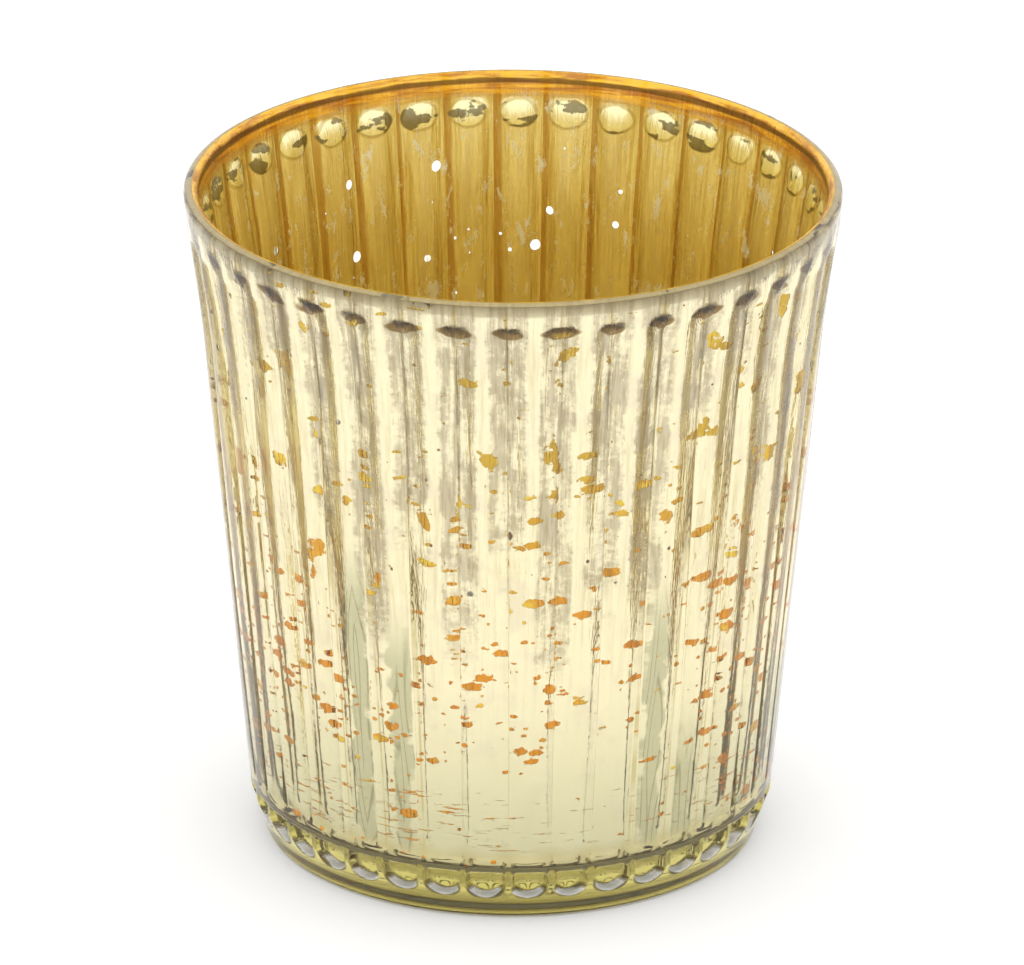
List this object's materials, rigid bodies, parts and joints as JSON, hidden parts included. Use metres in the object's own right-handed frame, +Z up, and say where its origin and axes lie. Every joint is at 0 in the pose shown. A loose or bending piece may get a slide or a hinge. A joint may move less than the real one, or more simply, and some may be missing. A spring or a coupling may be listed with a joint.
{
  "type": "tealight holder",
  "caption": "Tapered ribbed glass cup with a silvered and gold-lacquered inside that holds and lights up around a tealight, which lifts out.",
  "frame": {"origin": "centre of the foot ring, on the surface the cup stands on", "axes": "+Z up along the cup's axis through the open mouth; a valley between two ribs faces -Y"},
  "size_m": [0.073, 0.073, 0.0764],
  "materials": {
    "clear_glass": "clear, faintly green, glossy pressed glass",
    "antique_silver": "warm antiqued silver mirror film with worn spots",
    "gold_lacquer": "amber-gold lacquer over silver, brushed streaks and pinholes",
    "tealight_aluminium": "thin drawn foil, satin",
    "wax": "ivory paraffin wax",
    "tin_plate": "dull tin plate",
    "cotton_wick": "braided waxed cotton"
  },
  "bodies": {
    "holder": {"glass_cup": "clear_glass", "silver_lining": "antique_silver", "gold_lacquer": "gold_lacquer"},
    "tealight": {"tealight_cup": "tealight_aluminium", "tealight_wax": "wax", "wick_sustainer": "tin_plate", "wick": "cotton_wick"}
  },
  "joints": [
    {"name": "tealight_lift", "type": "slide", "parent": "holder", "child": "tealight", "axis": [0, 0, 1], "range_m": [0, 0.08]}
  ]
}
